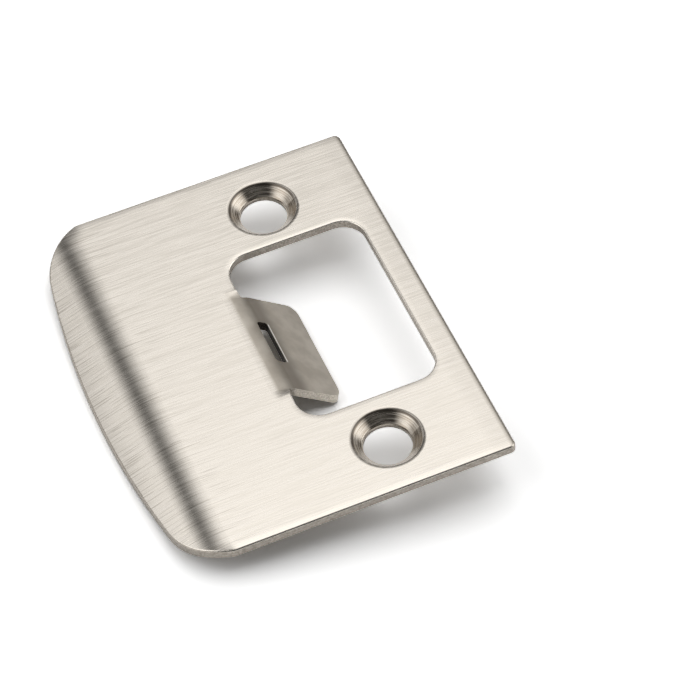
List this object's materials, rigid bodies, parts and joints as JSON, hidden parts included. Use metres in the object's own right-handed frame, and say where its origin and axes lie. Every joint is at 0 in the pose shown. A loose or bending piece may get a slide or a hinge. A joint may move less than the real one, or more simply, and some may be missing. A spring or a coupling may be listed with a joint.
{
  "type": "door strike plate",
  "caption": "Sheet-metal door strike plate with a bent guide lip, a rounded latch opening, a slotted tang bent down into the opening, and formed countersunk screw holes.",
  "frame": {"origin": "midway between the screw holes, on the flat back face that seats against the door jamb", "axes": "+Z out of the visible face, +X towards the straight edge and away from the lip, +Y along the length through both screw holes"},
  "size_m": [0.045, 0.057, 0.0073],
  "materials": {
    "satin_nickel": "satin nickel plate, brushed across the short way of the plate"
  },
  "bodies": {
    "root": {"strike_plate": "satin_nickel"}
  },
  "joints": []
}
